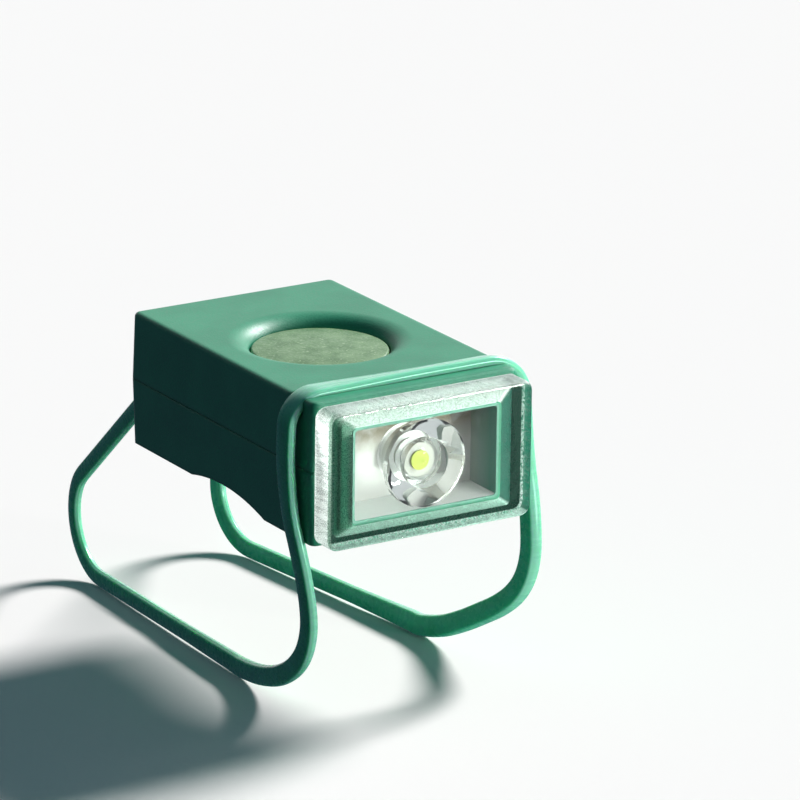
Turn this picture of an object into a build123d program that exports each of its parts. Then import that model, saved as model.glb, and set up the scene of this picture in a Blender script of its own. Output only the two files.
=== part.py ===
"""Strap-on bicycle headlight: a two-shell casing with a clear lens, a press button, two coin cells and a
stretchy strap that runs over the nose, under the handlebar and back to the rear wall.

Millimetres. The lens faces -Y, +X runs along the handlebar and +Z is up. The origin is the middle of the
concave saddle pad under the casing, where the handlebar touches it.
"""
from build123d import *
import math
import os

os.makedirs("parts", exist_ok=True)

# Casing outline
TOP_Z = 16.0
SEAM_Z = 7.65
SEAM_STEP = 0.12
HALF_WIDTH = 14.28
REAR_Y = 21.72
NOSE_FRONT_Y = -20.6
DRAFT = 1.9
CORNER = 1.1
TOP_EDGE = 0.6
WALL = 1.5

# Underside: a shallow arch between two flat feet
ARCH_R = 30.0
ARCH_CREST_Z = 0.3
REAR_FOOT_Z = -0.55
FRONT_FOOT_Z = -1.3
PAD = 1.0
PAD_Y = (-9.3, 6.7)
PAD_HALF_WIDTH = 10.8

# Strap groove and the neck that it crosses
GROOVE_Y = (-18.3, -15.25)
NECK_HALF_WIDTH = 14.4
NECK_TOP_Z = 15.55
NECK_CORNER = 3.3

# Lens and the nose behind it
LENS_CENTRE_Z = 7.25
LENS_WIDTH = 27.8
LENS_HEIGHT = 16.7
LENS_CORNER = 1.4
LENS_FRONT_Y = -24.1
LENS_PLATE = 1.9
LENS_SEAL = 0.25
POCKET_FRONT = (20.4, 12.0)
POCKET_BACK = (24.2, 14.6)
SPIGOT_WIDTH = 22.7
SPIGOT_HEIGHT = 13.4
SPIGOT_FRONT_Y = -21.25
WINDOW_WIDTH = 20.1
WINDOW_HEIGHT = 11.7

# Reflector tray, collimator and light source
TRAY_FRONT_Y = -22.05
TRAY_GAP = 0.05
TRAY_WALL = 0.3
TRAY_FLOOR_Y = -17.0
TRAY_BACK_Y = -16.0
RIM_R = 5.35
BACK_R = 3.1
COLLIMATOR_Y = (-22.05, -16.7)
LED_BOARD_Y = (-15.9, -15.1)
LED_TIP_Y = -20.35

# Chamber and battery
CHAMBER_HALF_WIDTH = 12.5
CHAMBER_Y = (-13.6, 20.0)
BUTTON_Y = 1.0
CELL_R = 10.0
CELL_H = 3.2
CELL_BOTTOM_Z = 2.7
CUP_R = 11.2
CUP_WALL = 1.0
COVER_HALF_WIDTH = 12.1
COVER_Y = (-10.4, 13.0)
COVER_TOP_Z = 2.4
FIT = 0.2

# Button, switch and circuit board
BUTTON_R = 8.25
BUTTON_EDGE_Z = 14.75
BUTTON_CROWN = 0.4
FLANGE_R = 9.6
FLANGE_Z = (12.65, 13.25)
DISH_R = 10.85
HOLE_R = 8.45
RING_BOTTOM_Z = 13.4
STEM_R = 1.6
STEM_BOTTOM_Z = 12.33
BOARD_Z = (9.6, 10.4)
SWITCH_TOP_Z = 11.7
PLUNGER_R = 1.25

# Screws
CASE_SCREWS = [(-9.9, -12.4), (9.9, -12.4), (-9.9, 16.6), (9.9, 16.6)]
BOARD_SCREWS = [(-9.6, 12.3), (9.6, 12.3)]
POST_R = 1.9

# Strap: a flat moulded band, given by its width and thickness
BAND_NOSE = (2.9, 1.15)
BAND_LEFT = (2.45, 1.25)
BAND_RIGHT = (2.6, 1.7)
BAND_REAR = (2.05, 1.1)
BAND_EDGE = 0.4
BAND_Y = -16.78
BAND_Z = 16.16
LEFT_BEND = (-15.3, 3.95)
RIGHT_BEND = (17.0, 5.4)
REAR_BEND = (53.5, -22.8, 7.1)
TAPER_RUN = 14.0
ANCHOR_Z = 5.4
ANCHOR_HALF_WIDTH = 12.4
STRAND_X = 11.6
STRAND_Z = 3.9
TONGUE_HALF_WIDTH = 6.5


def block(x, y, z):
    """A box between two values on each axis."""
    size = (x[1] - x[0], y[1] - y[0], z[1] - z[0])
    return Pos((x[0] + x[1]) / 2, (y[0] + y[1]) / 2, (z[0] + z[1]) / 2) * Box(*size)


def upright(width, length, radius, z, centre_y=0.0):
    """A rounded rectangle in plan, raised between two heights."""
    plan = Pos(0, centre_y, z[0]) * RectangleRounded(width, length, radius)
    return extrude(plan, z[1] - z[0])


def facing(width, height, radius, y, centre_z=LENS_CENTRE_Z):
    """A rounded rectangle seen from the front, between two depths."""
    plane = Plane(origin=(0, y[1], centre_z), x_dir=(1, 0, 0), z_dir=(0, -1, 0))
    return extrude(plane * RectangleRounded(width, height, radius), y[1] - y[0])


def disc(radius, z, x=0.0, y=BUTTON_Y):
    """An upright cylinder between two heights."""
    return Pos(x, y, (z[0] + z[1]) / 2) * Cylinder(radius, z[1] - z[0])


def turned(points, y=BUTTON_Y):
    """A solid turned about the vertical axis through the button from (radius, height) points."""
    profile = make_face(Plane.XZ * Polyline(*points, close=True))
    return Pos(0, y, 0) * revolve(profile, Axis.Z)


def dome(radius, edge, crown):
    """An arc from a rim at (radius, edge) to the axis, higher there by the crown, centred on the axis."""
    ball = (radius**2 + crown**2) / (2 * abs(crown))
    fall = ball - math.sqrt(ball**2 - radius**2 / 4)
    middle = edge + crown - math.copysign(fall, crown)
    return ThreePointArc((radius, edge), (radius / 2, middle), (0, edge + crown))


def underside(crest=ARCH_CREST_Z, radius=ARCH_R, rear=REAR_FOOT_Z, front=FRONT_FOOT_Z):
    """Everything below the feet and the arch, as a cutter."""
    drop = radius - crest
    arch_rear = math.sqrt(radius**2 - (rear + drop) ** 2)
    arch_front = -math.sqrt(radius**2 - (front + drop) ** 2)
    deep = -12.0
    far = 30.0
    crown = ThreePointArc((arch_rear, rear), (0, crest), (arch_front, front))
    sides = Polyline(
        (arch_front, front), (-far, front), (-far, deep), (far, deep), (far, rear), (arch_rear, rear),
    )
    profile = make_face(Plane.YZ * (crown + sides))
    return extrude(profile, far, both=True)


def plan_length():
    """The casing's length at the seam, before the nose's front is cut flat, and the middle of it."""
    length = REAR_Y - NOSE_FRONT_Y + 0.25
    return length, REAR_Y - length / 2


def casing():
    """The outside of the closed casing, with the nose and without the strap groove."""
    length, centre = plan_length()
    seam = Pos(0, centre, SEAM_Z) * RectangleRounded(2 * HALF_WIDTH, length, CORNER)
    upper = extrude(seam, TOP_Z - SEAM_Z, taper=DRAFT)
    upper = fillet(upper.faces().sort_by(Axis.Z)[-1].edges(), TOP_EDGE)
    lower = extrude(seam, -(SEAM_Z - FRONT_FOOT_Z), taper=DRAFT)
    front_cut = block((-20, 20), (-30, NOSE_FRONT_Y), (-10, 30))
    return upper + lower - underside() - front_cut


def seam_step():
    """A fine step round the upper shell's lower edge, which shows the joint as a line."""
    length, centre = plan_length()
    z = (SEAM_Z - 1, SEAM_Z + SEAM_STEP)
    inset = 2 * SEAM_STEP
    core = upright(2 * HALF_WIDTH - inset, length - inset, CORNER - SEAM_STEP, z, centre)
    return upright(2 * HALF_WIDTH + 4, length + 4, CORNER, z, centre) - core


def groove():
    """The channel round the neck where the strap lies."""
    channel = block((-20, 20), GROOVE_Y, (-10, 30))
    neck_height = 2 * (NECK_TOP_Z + 20)
    neck = facing(2 * NECK_HALF_WIDTH, neck_height, NECK_CORNER, GROOVE_Y, centre_z=-20)
    return channel - neck


def spigot():
    """The raised frame on the nose that locates the lens."""
    return facing(SPIGOT_WIDTH, SPIGOT_HEIGHT, 0.6, (SPIGOT_FRONT_Y, NOSE_FRONT_Y + 0.5))


def window():
    """The passage from the chamber through the neck and the nose."""
    return facing(WINDOW_WIDTH, WINDOW_HEIGHT, 0.5, (SPIGOT_FRONT_Y - 1, CHAMBER_Y[0] + 0.5))


def chamber(z):
    """The space inside the walls, between two heights."""
    length = CHAMBER_Y[1] - CHAMBER_Y[0]
    return upright(2 * CHAMBER_HALF_WIDTH, length, 1.0, z, sum(CHAMBER_Y) / 2)


def seal_ring(gap=0.0):
    """The loop of the seal between the two shells."""
    outer = upright(27.0 + 2 * gap, 35.5 + 2 * gap, 1.4, (SEAM_Z - 0.6 - gap, SEAM_Z), 3.2)
    inner = upright(25.8 - 2 * gap, 34.3 - 2 * gap, 0.9, (SEAM_Z - 1.0, SEAM_Z + 1), 3.2)
    return outer - inner


def half(shape, upper):
    """The part of a solid above or below the seam."""
    z = (SEAM_Z, 40) if upper else (-40, SEAM_Z)
    return shape & block((-40, 40), (-60, 60), z)


def posts(places, radius, z):
    """Round posts or holes at a list of places."""
    return [disc(radius, z, x, y) for x, y in places]


def upper_shell():
    shell = half(casing() - seam_step() + spigot() - groove(), True)
    shell -= chamber((SEAM_Z - 1, TOP_Z - WALL))
    for post in posts(CASE_SCREWS, POST_R, (SEAM_Z, TOP_Z - 1)):
        shell += post
    for post in posts(BOARD_SCREWS, 1.6, (BOARD_Z[1], TOP_Z - 1)):
        shell += post
    shell += disc(DISH_R, (RING_BOTTOM_Z, TOP_Z - 1))
    shell -= half(window(), True)
    for hole in posts(CASE_SCREWS, 0.9, (SEAM_Z - 1, 13.6)):
        shell -= hole
    for hole in posts(BOARD_SCREWS, 0.6, (BOARD_Z[1] - 1, 13.6)):
        shell -= hole
    return shell - button_dish()


def button_dish():
    """The round dish and the hole that the button sits in."""
    wall = ThreePointArc((DISH_R, TOP_Z), (9.35, TOP_Z - 0.5), (HOLE_R, 14.6))
    rest = Polyline(
        (HOLE_R, 14.6), (HOLE_R, RING_BOTTOM_Z - 1), (0, RING_BOTTOM_Z - 1), (0, TOP_Z + 1),
        (DISH_R, TOP_Z + 1), (DISH_R, TOP_Z),
    )
    profile = make_face(Plane.XZ * (wall + rest))
    return Pos(0, BUTTON_Y, 0) * revolve(profile, Axis.Z)


def cover_opening():
    """The hole in the floor for the battery cover, wider outside so that the cover seats."""
    narrow, wide = CUP_R + FIT, COVER_HALF_WIDTH + FIT
    front, rear = COVER_Y[0] - FIT, COVER_Y[1]
    inner = block((-narrow, narrow), (front, rear - 0.6), (-10, 3))
    return inner + block((-wide, wide), (front, rear + FIT), (-10, 0.6))


def lower_shell():
    shell = half(casing() + spigot() - groove(), False)
    shell -= chamber((1.0, SEAM_Z + 1))
    for post in posts(CASE_SCREWS, POST_R, (0.5, SEAM_Z)):
        shell += post
    shell -= cover_opening()
    shell -= half(window(), False)
    for hole in posts(CASE_SCREWS, 1.05, (-5, SEAM_Z + 1)) + posts(CASE_SCREWS, 1.75, (-5, 0.9)):
        shell -= hole
    slot_x = TONGUE_HALF_WIDTH + 0.1
    slot = block((-slot_x, slot_x), (19, 23), (ANCHOR_Z - 0.9, ANCHOR_Z + 0.9))
    return shell - slot - seal_ring(0.05)


def lens():
    """A clear rounded block with a thick front plate and a pocket that flares towards the nose."""
    back = NOSE_FRONT_Y - LENS_SEAL
    front = LENS_FRONT_Y + LENS_PLATE
    cap = facing(LENS_WIDTH, LENS_HEIGHT, LENS_CORNER, (LENS_FRONT_Y, back))
    cap = fillet(cap.faces().sort_by(Axis.Y)[0].edges(), 0.5)
    rims = []
    for size, y in ((POCKET_FRONT, front), (POCKET_BACK, back)):
        plane = Plane(origin=(0, y, LENS_CENTRE_Z), x_dir=(1, 0, 0), z_dir=(0, 1, 0))
        rims.append(plane * RectangleRounded(*size, 0.6))
    return cap - loft(rims)


def lens_seal():
    back = (NOSE_FRONT_Y - LENS_SEAL, NOSE_FRONT_Y)
    ring = facing(LENS_WIDTH - 0.8, LENS_HEIGHT - 0.8, LENS_CORNER - 0.4, back)
    return ring - facing(*POCKET_BACK, 0.6, (back[0] - 1, back[1] + 1))


def reflector_tray():
    """A white tray with drafted walls behind the lens, open at the front."""
    width = WINDOW_WIDTH - 2 * TRAY_GAP
    height = WINDOW_HEIGHT - 2 * TRAY_GAP
    tray = facing(width, height, 0.5, (TRAY_FRONT_Y, TRAY_BACK_Y))
    front = Plane(origin=(0, TRAY_FRONT_Y, LENS_CENTRE_Z), x_dir=(1, 0, 0), z_dir=(0, 1, 0))
    mouth = front * RectangleRounded(width - 2 * TRAY_WALL, height - 2 * TRAY_WALL, 0.4)
    hollow = extrude(mouth, TRAY_FLOOR_Y - TRAY_FRONT_Y, taper=4)
    hole = Pos(0, TRAY_BACK_Y, LENS_CENTRE_Z) * Rot(90, 0, 0) * Cylinder(3.55, 4)
    return tray - hollow - hole


def collimator():
    """A clear turned lens: a rim, a cone that narrows to the back, and a thin dome over the light source."""
    front, back = COLLIMATOR_Y
    rim = 0.85
    dome_r = 3.0
    pocket_r = 2.3
    outer_edge = front + 1.4
    inner_edge = front + 1.45
    outline = Polyline(
        (dome_r, outer_edge), (dome_r, front), (RIM_R, front), (RIM_R, front + rim), (BACK_R, back),
        (pocket_r, back), (pocket_r, inner_edge),
    )
    outer_dome = dome(dome_r, outer_edge, -0.9)
    inner_dome = dome(pocket_r, inner_edge, -0.45)
    axis = Line((0, outer_edge - 0.9), (0, inner_edge - 0.45))
    profile = make_face(outline + outer_dome + inner_dome + axis)
    return Pos(0, 0, LENS_CENTRE_Z) * revolve(profile, Axis.Y)


def led_board():
    board = facing(WINDOW_WIDTH - 0.4, WINDOW_HEIGHT - 0.4, 0.4, LED_BOARD_Y)
    for x in (-1.27, 1.27):
        board -= block((x - 0.35, x + 0.35), (-17, -14), (11.15, 11.85))
    return board


def led_package():
    """The round body of the light source, which reaches forward into the clear lens."""
    length = LED_BOARD_Y[0] - LED_TIP_Y
    middle = LED_TIP_Y + length / 2
    return Pos(0, middle, LENS_CENTRE_Z) * Rot(90, 0, 0) * Cylinder(2.0, length)


def led_phosphor():
    """The round dot of phosphor on the light source."""
    thickness = 0.25
    return Pos(0, LED_TIP_Y - thickness / 2, LENS_CENTRE_Z) * Rot(90, 0, 0) * Cylinder(1.15, thickness)


def led_pins():
    """Two bent pins that carry the light source's board and feed it from the main board."""
    pins = []
    for x in (-1.27, 1.27):
        ahead = block((x - 0.3, x + 0.3), (-15.96, -12.9), (11.2, 11.8))
        down = block((x - 0.3, x + 0.3), (-13.5, -12.9), (9.0, 11.8))
        pins.append(ahead + down)
    return Compound(children=pins)


def button():
    """The domed cap, its retaining flange and the stem that meets the switch."""
    edge = 0.35
    top = BUTTON_EDGE_Z
    crown = dome(BUTTON_R - edge, top, BUTTON_CROWN)
    turn = ThreePointArc((BUTTON_R, top - edge), (BUTTON_R - 0.1, top - 0.1), (BUTTON_R - edge, top))
    low, high = FLANGE_Z
    rest = Polyline(
        (0, top + BUTTON_CROWN), (0, STEM_BOTTOM_Z), (STEM_R, STEM_BOTTOM_Z), (STEM_R, low),
        (FLANGE_R, low), (FLANGE_R, high), (BUTTON_R, high), (BUTTON_R, top - edge),
    )
    profile = make_face(Plane.XZ * (crown + turn + rest))
    return Pos(0, BUTTON_Y, 0) * revolve(profile, Axis.Z)


def button_seal():
    return disc(DISH_R - 0.05, (12.7, RING_BOTTOM_Z)) - disc(FLANGE_R + 0.2, (12, 14))


def switch_body():
    body = Pos(0, BUTTON_Y, 0) * block((-2.6, 2.6), (-2.6, 2.6), (BOARD_Z[1], SWITCH_TOP_Z))
    return body - disc(PLUNGER_R + 0.07, (10.9, SWITCH_TOP_Z + 1))


def switch_legs():
    """Four flat legs, two on each side of the switch."""
    top = BOARD_Z[1]
    legs = []
    for inner, outer in ((-3.4, -2.6), (2.6, 3.4)):
        for y in (BUTTON_Y - 1.6, BUTTON_Y + 1.6):
            legs.append(block((inner, outer), (y - 0.35, y + 0.35), (top, top + 0.25)))
    return Compound(children=legs)


def switch_plunger():
    return disc(PLUNGER_R, (11.4, STEM_BOTTOM_Z - 0.08))


def circuit_board():
    board = upright(23.2, 24.2, 0.8, BOARD_Z, 1.8)
    board += block((-7.4, 7.4), (-14.6, -9), BOARD_Z)
    for x in (-1.27, 1.27):
        board -= block((x - 0.35, x + 0.35), (-13.55, -12.85), (9, 11))
    for hole in posts(BOARD_SCREWS, 0.8, (9, 11)):
        board -= hole
    return board


def microcontroller():
    chip = block((5.0, 8.9), (-1.4, 3.6), (BOARD_Z[1] + 0.15, BOARD_Z[1] + 1.35))
    for pin in range(4):
        y = -0.8 + 1.27 * pin
        chip += block((4.3, 9.6), (y - 0.2, y + 0.2), (BOARD_Z[1], BOARD_Z[1] + 0.3))
    return chip


def resistors():
    """A row of four chip resistors."""
    z = (BOARD_Z[1], BOARD_Z[1] + 0.5)
    return Compound(children=[block((-6.6, -5.0), (y - 0.4, y + 0.4), z) for y in (-2.5, -0.9, 0.7, 2.3)])


def capacitors():
    """A row of three chip capacitors."""
    z = (BOARD_Z[1], BOARD_Z[1] + 1.2)
    return Compound(children=[block((x - 0.65, x + 0.65), (7.4, 9.4), z) for x in (-3.6, -1.2, 1.2)])


def coin_cell(bottom):
    """A coin cell: a can with a rounded rim and a smaller cap below it, with the gap between them."""
    top = bottom + CELL_H
    return turned([
        (0, bottom), (8.6, bottom), (8.9, bottom + 0.25), (8.9, bottom + 0.45), (9.6, bottom + 0.45),
        (CELL_R, bottom + 0.85), (CELL_R, top - 0.3), (CELL_R - 0.3, top), (0, top),
    ])


def positive_contact():
    """A bowed leaf under the main board that presses on the upper cell."""
    board = BOARD_Z[0]
    low = CELL_BOTTOM_Z + 2 * CELL_H + 0.1
    top = ThreePointArc((-6, board), (0, low + 0.2), (6, board))
    bottom = ThreePointArc((-7, board), (0, low), (7, board))
    closing = Line((-7, board), (-6, board)) + Line((6, board), (7, board))
    profile = make_face(Plane.YZ * (top + bottom + closing))
    return Pos(0, BUTTON_Y, 0) * extrude(profile, 2.0, both=True)


def negative_contact():
    """A strip on the cover's floor with a tab that rises beside the cells."""
    z = (COVER_TOP_Z, CELL_BOTTOM_Z)
    floor = disc(4.0, z) + block((-1.8, 1.8), (BUTTON_Y, 11.7), z)
    return floor + block((-1.8, 1.8), (11.4, 11.7), (COVER_TOP_Z, 9.3))


def pad_space(gap=0.0):
    """The saddle pad's block before its arched underside is cut."""
    return block((-PAD_HALF_WIDTH - gap, PAD_HALF_WIDTH + gap), (PAD_Y[0] - gap, PAD_Y[1] + gap), (-8, 4))


def battery_cover():
    """The lid under the casing, with the cup that carries the cells."""
    plate = block((-COVER_HALF_WIDTH, COVER_HALF_WIDTH), COVER_Y, (-6, 0.5))
    plate += block((-CUP_R, CUP_R), (COVER_Y[0], COVER_Y[1] - 0.8), (-6, COVER_TOP_Z))
    plate -= underside()
    plate -= pad_space(0.05) & pad_arch(False)
    cup = disc(CUP_R, (COVER_TOP_Z, 6.0)) - disc(CUP_R - CUP_WALL, (COVER_TOP_Z, 7))
    cup &= block((-CUP_R, CUP_R), (COVER_Y[0], COVER_Y[1] - 0.8), (0, 7))
    cup -= block((-2.2, 2.2), (8, 14), (COVER_TOP_Z, 7))
    cup -= block((-14, 14), (BUTTON_Y - 3, BUTTON_Y + 3), (4.2, 7))
    notch = Pos(0, COVER_Y[1], REAR_FOOT_Z) * Sphere(1.4)
    return plate + cup - notch


def pad_arch(below):
    """The space under the pad's top face, or under its bottom face, as a round bar across the casing."""
    radius = ARCH_R if below else ARCH_R + PAD
    return Pos(0, 0, -ARCH_R) * Rot(0, 90, 0) * Cylinder(radius, 60)


def saddle_pad():
    """A soft pad under the cover, curved to the bar, with grip grooves along the bar."""
    pad = (pad_space() & pad_arch(False)) - pad_arch(True)
    for angle in range(-15, 13, 3):
        place = Pos(0, 0, -ARCH_R) * Rot(-angle, 0, 0) * Pos(0, 0, ARCH_R)
        pad -= place * Rot(45, 0, 0) * Box(40, 0.4, 0.4)
    return pad


def screw(x, y, head_z, tip_z, shank_r, head_r, head_h):
    """A pan-head screw that points up, with a cross recess in its head."""
    body = disc(head_r, (head_z, head_z + head_h), x, y) + disc(shank_r, (head_z, tip_z), x, y)
    for turn in (0, 90):
        body -= Pos(x, y, head_z) * Rot(0, 0, turn) * Box(head_r * 1.2, 0.4, 0.9)
    return body


def case_screws():
    return Compound(children=[screw(x, y, -0.35, 13.0, 0.85, 1.6, 1.2) for x, y in CASE_SCREWS])


def board_screws():
    return Compound(children=[screw(x, y, 8.8, 13.2, 0.55, 1.3, 0.8) for x, y in BOARD_SCREWS])


def band_face(plane, size):
    """The strap's rounded section, with its width along the plane's x."""
    width, thickness = size
    return plane * RectangleRounded(width, thickness, BAND_EDGE)


def nose_run():
    """The strap over the nose, with a bend at each side."""
    left_x, left_r = LEFT_BEND
    right_x, right_r = RIGHT_BEND
    start = left_x + left_r
    end = right_x - right_r
    section = band_face(Plane(origin=(start, BAND_Y, BAND_Z), x_dir=(0, 1, 0), z_dir=(1, 0, 0)), BAND_NOSE)
    top = extrude(section, end - start)
    left_bend = revolve(section, Axis((start, 0, BAND_Z - left_r), (0, 1, 0)), -90)
    right_bend = revolve(Pos(end - start, 0, 0) * section, Axis((end, 0, BAND_Z - right_r), (0, 1, 0)), 90)
    return top + left_bend + right_bend


def side_run(route, end_plane, end_size):
    """A loft down the side of the nose and round the front of the bar's space, without a twist."""
    places = [Vector(*row[:3]) for row in route] + [end_plane.origin]
    across = Vector(0, -1, 0)
    sections = []
    for i, row in enumerate(route):
        along = (places[i + 1] - places[i - 1]).normalized() if i else Vector(0, 0, -1)
        across = (across - along * across.dot(along)).normalized()
        sections.append(band_face(Plane(origin=places[i], x_dir=across, z_dir=along), row[3:]))
    sections.append(band_face(end_plane, end_size))
    return loft(sections)


def under_run(start, anchor_x, size):
    """The strap from under the bar's space, round its rear and up to the anchor, in one upright plane."""
    anchor = Vector(anchor_x, 22.9, STRAND_Z)
    heading = Vector(anchor.X - start.X, anchor.Y - start.Y, 0).normalized()
    corner_y, corner_z, radius = REAR_BEND
    corner = Vector(start.X, start.Y, corner_z) + heading * (corner_y - start.Y)
    along = (corner - start).normalized()
    down = (Vector(0, 0, -1) + along * along.Z).normalized()
    wide = Plane(origin=start, x_dir=down, z_dir=along)
    narrow = Plane(origin=start + along * TAPER_RUN, x_dir=down, z_dir=along)
    taper = loft([band_face(wide, size), band_face(narrow, BAND_REAR)])
    path = FilletPolyline(narrow.origin, corner, anchor, radius=radius)
    return taper + sweep(band_face(narrow, BAND_REAR), path), wide


def strap():
    """The endless moulded strap and the tongue that anchors it in the rear wall."""
    left_route = [
        (LEFT_BEND[0], BAND_Y, BAND_Z - LEFT_BEND[1], *BAND_NOSE),
        (-15.4, -16.8, 8.5, 2.85, 1.15),
        (-15.2, -17.0, 4.5, 2.65, 1.2),
        (-14.95, -17.5, 1.0, 2.5, 1.2),
        (-14.4, -18.1, -2.5, 2.5, 1.25),
        (-13.85, -18.55, -6.0, *BAND_LEFT),
        (-13.45, -18.85, -9.5, *BAND_LEFT),
        (-13.35, -18.85, -12.3, *BAND_LEFT),
        (-13.35, -18.0, -15.0, *BAND_LEFT),
        (-13.3, -16.2, -17.3, *BAND_LEFT),
        (-13.2, -13.6, -19.2, *BAND_LEFT),
        (-13.0, -10.3, -20.7, *BAND_LEFT),
        (-12.7, -6.3, -21.8, *BAND_LEFT),
    ]
    right_route = [
        (RIGHT_BEND[0], BAND_Y, BAND_Z - RIGHT_BEND[1], *BAND_NOSE),
        (17.35, -16.85, 6.0, 2.8, 1.45),
        (17.65, -17.1, 2.0, 2.7, 1.6),
        (17.85, -17.6, -1.5, *BAND_RIGHT),
        (17.9, -18.05, -5.0, *BAND_RIGHT),
        (17.8, -18.25, -8.4, *BAND_RIGHT),
        (17.5, -17.7, -11.4, *BAND_RIGHT),
        (17.1, -16.2, -13.9, *BAND_RIGHT),
        (16.5, -13.9, -16.0, *BAND_RIGHT),
        (15.9, -10.9, -17.9, *BAND_RIGHT),
        (15.3, -7.6, -19.8, *BAND_RIGHT),
        (14.7, -4.2, -21.4, *BAND_RIGHT),
    ]
    left_under, left_plane = under_run(Vector(-12.4, -2.0, -22.4), -STRAND_X, BAND_LEFT)
    right_under, right_plane = under_run(Vector(14.1, -0.5, -22.4), STRAND_X, BAND_RIGHT)
    left_side = side_run(left_route, left_plane, BAND_LEFT)
    right_side = side_run(right_route, right_plane, BAND_RIGHT)
    bar = Plane(origin=(-ANCHOR_HALF_WIDTH, 23.15, ANCHOR_Z), x_dir=(0, 1, 0), z_dir=(1, 0, 0))
    crossbar = extrude(bar * RectangleRounded(2.4, 5.0, 1.1), 2 * ANCHOR_HALF_WIDTH)
    tongue = block((-TONGUE_HALF_WIDTH, TONGUE_HALF_WIDTH), (18.7, 22.6), (ANCHOR_Z - 0.8, ANCHOR_Z + 0.8))
    bead = Pos(0, 18.65, ANCHOR_Z) * Rot(0, 90, 0) * Cylinder(1.3, 2 * TONGUE_HALF_WIDTH)
    whole = nose_run()
    for piece in (left_side, right_side, left_under, right_under, crossbar, tongue, bead):
        whole += piece
    return whole


PIECES = {
    "upper_shell": upper_shell,
    "lower_shell": lower_shell,
    "case_seal": seal_ring,
    "lens": lens,
    "lens_seal": lens_seal,
    "reflector_tray": reflector_tray,
    "collimator": collimator,
    "led_board": led_board,
    "led_package": led_package,
    "led_phosphor": led_phosphor,
    "led_pins": led_pins,
    "button": button,
    "button_seal": button_seal,
    "switch_body": switch_body,
    "switch_legs": switch_legs,
    "switch_plunger": switch_plunger,
    "circuit_board": circuit_board,
    "microcontroller": microcontroller,
    "resistors": resistors,
    "capacitors": capacitors,
    "positive_contact": positive_contact,
    "negative_contact": negative_contact,
    "lower_cell": lambda: coin_cell(CELL_BOTTOM_Z),
    "upper_cell": lambda: coin_cell(CELL_BOTTOM_Z + CELL_H),
    "battery_cover": battery_cover,
    "saddle_pad": saddle_pad,
    "case_screws": case_screws,
    "board_screws": board_screws,
    "strap": strap,
}

for node, make in PIECES.items():
    export_step(make(), f"parts/{node}.step")
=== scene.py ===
"""Looks, light and camera of the bicycle headlight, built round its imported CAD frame.

The strap and the saddle pad are modelled here. The other pieces are the CAD's own, with finished materials.
Routes and sizes are in millimetres, as in the part's source, and are scaled to metres where a mesh is made.
"""
import math

import bmesh
import bpy
from mathutils import Matrix, Quaternion, Vector


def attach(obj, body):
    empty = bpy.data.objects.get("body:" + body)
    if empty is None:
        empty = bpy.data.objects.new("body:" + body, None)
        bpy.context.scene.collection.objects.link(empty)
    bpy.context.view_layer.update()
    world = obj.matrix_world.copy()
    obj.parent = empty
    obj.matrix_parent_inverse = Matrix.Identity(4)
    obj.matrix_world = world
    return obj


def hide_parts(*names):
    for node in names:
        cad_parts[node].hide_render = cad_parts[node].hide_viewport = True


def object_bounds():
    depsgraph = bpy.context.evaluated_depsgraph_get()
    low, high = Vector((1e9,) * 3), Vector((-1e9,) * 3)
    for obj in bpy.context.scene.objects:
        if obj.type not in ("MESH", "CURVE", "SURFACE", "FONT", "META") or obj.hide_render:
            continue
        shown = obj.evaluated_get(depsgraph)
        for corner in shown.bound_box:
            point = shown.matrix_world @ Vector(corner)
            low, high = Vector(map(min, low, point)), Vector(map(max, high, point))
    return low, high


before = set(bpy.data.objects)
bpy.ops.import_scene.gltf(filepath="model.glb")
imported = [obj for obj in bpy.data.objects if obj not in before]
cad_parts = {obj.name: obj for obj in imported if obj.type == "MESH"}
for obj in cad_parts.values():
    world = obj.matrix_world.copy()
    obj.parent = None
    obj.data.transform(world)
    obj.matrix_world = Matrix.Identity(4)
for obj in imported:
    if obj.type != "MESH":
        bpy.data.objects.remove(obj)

CAD_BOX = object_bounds()
MM = 0.001

# Where the values of a noise pattern lie: most of them, and a narrower range that gives more contrast
NOISE_MOST = (0.3, 0.7)
NOISE_MIDDLE = (0.35, 0.65)

# Camera, fitted to the photograph
CAMERA_EYE = (-0.349583, -0.571320, 0.225644)
CAMERA_RIGHT = (0.847957, -0.529917, 0.012542)
CAMERA_UP = (0.153244, 0.267730, 0.951229)
CAMERA_BACK = (-0.507431, -0.804679, 0.308230)
CAMERA_LENS = 266.28
CAMERA_SENSOR = 36
CAMERA_CLIP = (0.05, 50)

# Light: a soft key from the right, a low one from the front right, and a dim cool fill all round
KEY_FROM = (0.78, 0.15, 0.60)
KEY_STRENGTH = 5.0
KEY_SOFTNESS = 15.0
FRONT_FROM = (0.54, -0.84, 0.012)
FRONT_STRENGTH = 3.1
FRONT_SOFTNESS = 6.0
FILL = (0.045, 0.100, 0.118)

# Backdrop: where it is white to gloss, the dim room that gloss sees elsewhere, and how pale it is to glass
BACKDROP_TOWARD = (0.5, 0.8, 0.3)
BACKDROP_EDGE = (0.66, 0.93)
BACKDROP_WHITE = (1.0, 1.0, 1.0)
ROOM = (0.06, 0.09, 0.16)
GLASS_LEVEL = 0.72

# Floor, in metres, with the stretch of x over which it stops bouncing light to the left
FLOOR_COLOUR = (0.93, 0.885, 0.87)
FLOOR_HALF = 4.0
FLOOR_GAP = 0.0002
FLOOR_FADE_X = (-0.03, 0.02)
FLOOR_LEFT = 0.04

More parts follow.
